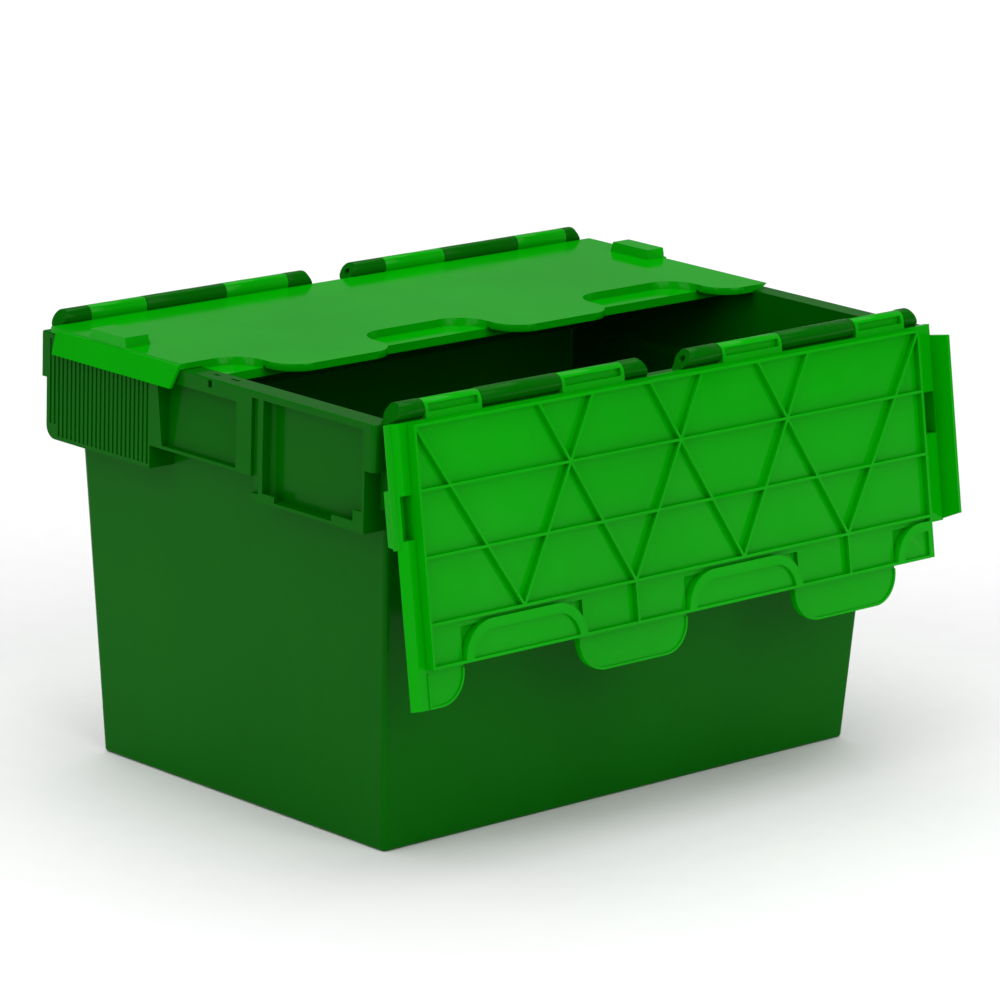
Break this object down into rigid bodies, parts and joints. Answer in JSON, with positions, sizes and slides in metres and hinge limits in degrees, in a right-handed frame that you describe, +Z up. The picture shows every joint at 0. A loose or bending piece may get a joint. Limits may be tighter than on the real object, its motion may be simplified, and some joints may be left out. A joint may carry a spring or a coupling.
{
  "type": "attached lid tote",
  "caption": "Stackable plastic storage tote with two interlocking lids that swing on steel hinge rods along the long sides.",
  "frame": {"origin": "centre of the base on the surface that the tote stands on", "axes": "+X along the long side, +Y from the front (the side with the open lid) to the back, +Z up"},
  "size_m": [0.576, 0.4315, 0.3465],
  "materials": {
    "body_plastic": "glossy moulded polypropylene, dark green",
    "lid_plastic": "glossy moulded polypropylene, bright green",
    "pin_steel": "drawn zinc-plated steel wire"
  },
  "bodies": {
    "tub": {"tote_body": "body_plastic", "front_left_hinge_pin": "pin_steel", "front_right_hinge_pin": "pin_steel", "back_left_hinge_pin": "pin_steel", "back_right_hinge_pin": "pin_steel"},
    "front_lid": {"front_lid": "lid_plastic"},
    "back_lid": {"back_lid": "lid_plastic"}
  },
  "joints": [
    {"name": "front_lid_hinge", "type": "hinge", "parent": "tub", "child": "front_lid", "pos_m": [0, -0.1885, 0.3395], "axis": [1, 0, 0], "range_deg": [-261, 0]},
    {"name": "back_lid_hinge", "type": "hinge", "parent": "tub", "child": "back_lid", "pos_m": [0, 0.1885, 0.3395], "axis": [-1, 0, 0], "range_deg": [0, 261]}
  ]
}
